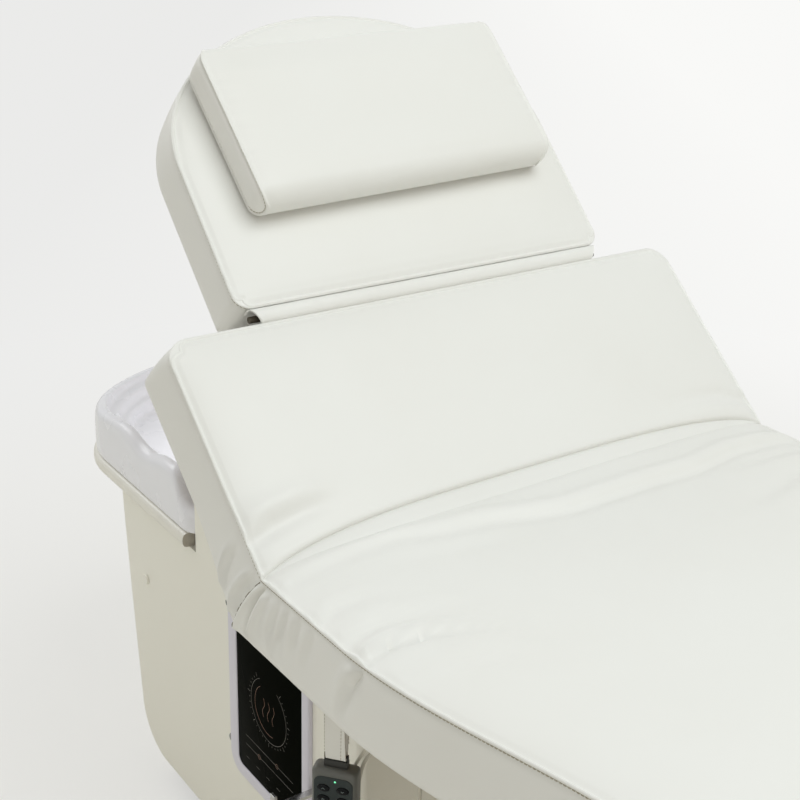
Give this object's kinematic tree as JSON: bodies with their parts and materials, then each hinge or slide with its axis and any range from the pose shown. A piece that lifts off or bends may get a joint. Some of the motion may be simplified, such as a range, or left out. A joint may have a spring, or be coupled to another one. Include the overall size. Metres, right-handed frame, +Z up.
{
  "type": "electric spa table",
  "caption": "Upholstered electric spa table with tilting back, jointed head section with pillow, raised leg section, wash basin, cabinet with touch panel and a hanging handset.",
  "frame": {"origin": "on the floor, below the middle of the table's box", "axes": "+Z up, +Y from the foot end to the head end, +X to the lying person's right-hand side seen from the foot end"},
  "size_m": [0.7482, 1.999, 1.1089],
  "materials": {
    "upholstery": "cream, soft sheen",
    "plywood": "raw",
    "frame_steel": "grey paint",
    "bright_steel": "bright",
    "chrome": "polished",
    "shell_paint": "cream, satin",
    "basin_white": "white, glossy",
    "bezel_plastic": "pale lavender, satin",
    "black_glass": "black, glossy",
    "grey_plastic": "grey, satin",
    "dark_plastic": "near black",
    "button_rubber": "black, matt",
    "foot_rubber": "black, matt",
    "cable_skin": "cream, satin"
  },
  "bodies": {
    "base": {"head_column": "frame_steel", "foot_column": "frame_steel", "seat_rail_left": "frame_steel", "seat_rail_right": "frame_steel", "seat_cross_head": "bright_steel", "seat_cross_foot": "frame_steel", "cabinet_shell": "shell_paint", "foot_cover": "shell_paint", "seat_board": "plywood", "seat_cushion": "upholstery", "basin": "basin_white", "basin_trim": "shell_paint", "waste_pipe": "grey_plastic", "water_tank": "grey_plastic", "circulation_pump": "dark_plastic", "water_heater": "bright_steel", "control_box": "dark_plastic", "power_inlet": "dark_plastic", "panel_bezel": "bezel_plastic", "panel_glass": "black_glass", "panel_screw_upper": "chrome", "panel_screw_lower": "chrome", "wall_cap": "shell_paint", "level_foot_1": "foot_rubber", "level_foot_2": "foot_rubber", "level_foot_3": "foot_rubber", "level_foot_4": "foot_rubber", "handset_hook": "chrome", "strap": "upholstery", "cable_gland": "dark_plastic", "cable_clip": "dark_plastic", "handset_cable": "cable_skin"},
    "back": {"back_bracket_left": "frame_steel", "back_bracket_right": "frame_steel", "back_crossbar": "frame_steel", "back_board": "plywood", "back_cushion": "upholstery", "hinge_flap": "upholstery", "head_hinge_rod": "bright_steel"},
    "head": {"head_board": "plywood", "head_cushion": "upholstery", "pillow": "upholstery", "head_hinge_leaf": "frame_steel"},
    "leg": {"leg_board": "plywood", "leg_cushion": "upholstery", "leg_frame": "frame_steel", "leg_hinge_rod": "bright_steel"},
    "back_drive": {"back_actuator_body": "dark_plastic"},
    "back_drive_rod": {"back_actuator_rod": "bright_steel"},
    "leg_drive": {"leg_actuator_body": "dark_plastic"},
    "leg_drive_rod": {"leg_actuator_rod": "bright_steel"},
    "strainer": {"basin_strainer": "chrome"},
    "remote": {"strap_clip": "dark_plastic", "handset": "grey_plastic"},
    "button_1": {"handset_button_1": "button_rubber"},
    "button_2": {"handset_button_2": "button_rubber"},
    "button_3": {"handset_button_3": "button_rubber"},
    "button_4": {"handset_button_4": "button_rubber"},
    "button_5": {"handset_button_5": "button_rubber"},
    "button_6": {"handset_button_6": "button_rubber"}
  },
  "joints": [
    {"name": "back_tilt", "type": "hinge", "parent": "base", "child": "back", "pos_m": [0, 0.18224, 0.528], "axis": [1, 0, 0], "range_deg": [-41.33, 18.67]},
    {"name": "head_tilt", "type": "hinge", "parent": "back", "child": "head", "pos_m": [0, 0.36678, 0.82882], "axis": [1, 0, 0], "range_deg": [-3.77, 41]},
    {"name": "leg_tilt", "type": "hinge", "parent": "base", "child": "leg", "pos_m": [0, -0.46, 0.632], "axis": [-1, 0, 0], "range_deg": [0, 30]},
    {"name": "back_drive_swing", "type": "hinge", "parent": "base", "child": "back_drive", "pos_m": [0, -0.13, 0.41], "axis": [1, 0, 0], "range_deg": [-4, 2]},
    {"name": "back_drive_slide", "type": "slide", "parent": "back_drive", "child": "back_drive_rod", "axis": [0, 0.9739, 0.227], "range_m": [-0.037, 0.017]},
    {"name": "leg_drive_swing", "type": "hinge", "parent": "base", "child": "leg_drive", "pos_m": [0, -0.19, 0.41], "axis": [1, 0, 0], "range_deg": [-5.5, 0.5]},
    {"name": "leg_drive_slide", "type": "slide", "parent": "leg_drive", "child": "leg_drive_rod", "axis": [0, -0.9887, 0.1498], "range_m": [-0.001, 0.09]},
    {"name": "strainer_lift", "type": "slide", "parent": "base", "child": "strainer", "axis": [0, 0, 1], "range_m": [0, 0.03]},
    {"name": "handset_swing", "type": "hinge", "parent": "base", "child": "remote", "pos_m": [-0.335, 0.059, 0.4578], "axis": [0.6428, -0.766, 0], "range_deg": [-25, 7]},
    {"name": "button_1_press", "type": "slide", "parent": "remote", "child": "button_1", "axis": [0.766, 0.6428, 0], "range_m": [0, 0.001], "stiffness_N_per_m": 800, "springref_m": -0.0005},
    {"name": "button_2_press", "type": "slide", "parent": "remote", "child": "button_2", "axis": [0.766, 0.6428, 0], "range_m": [0, 0.001], "stiffness_N_per_m": 800, "springref_m": -0.0005},
    {"name": "button_3_press", "type": "slide", "parent": "remote", "child": "button_3", "axis": [0.766, 0.6428, 0], "range_m": [0, 0.001], "stiffness_N_per_m": 800, "springref_m": -0.0005},
    {"name": "button_4_press", "type": "slide", "parent": "remote", "child": "button_4", "axis": [0.766, 0.6428, 0], "range_m": [0, 0.001], "stiffness_N_per_m": 800, "springref_m": -0.0005},
    {"name": "button_5_press", "type": "slide", "parent": "remote", "child": "button_5", "axis": [0.766, 0.6428, 0], "range_m": [0, 0.001], "stiffness_N_per_m": 800, "springref_m": -0.0005},
    {"name": "button_6_press", "type": "slide", "parent": "remote", "child": "button_6", "axis": [0.766, 0.6428, 0], "range_m": [0, 0.001], "stiffness_N_per_m": 800, "springref_m": -0.0005}
  ],
  "couplings": [
    {"joint": "back_drive_swing", "follows": "back_tilt", "ratio": 0.0862},
    {"joint": "back_drive_slide", "follows": "back_tilt", "m_per_rad": 0.0491},
    {"joint": "leg_drive_swing", "follows": "leg_tilt", "ratio": -0.1739},
    {"joint": "leg_drive_slide", "follows": "leg_tilt", "m_per_rad": 0.1689}
  ]
}
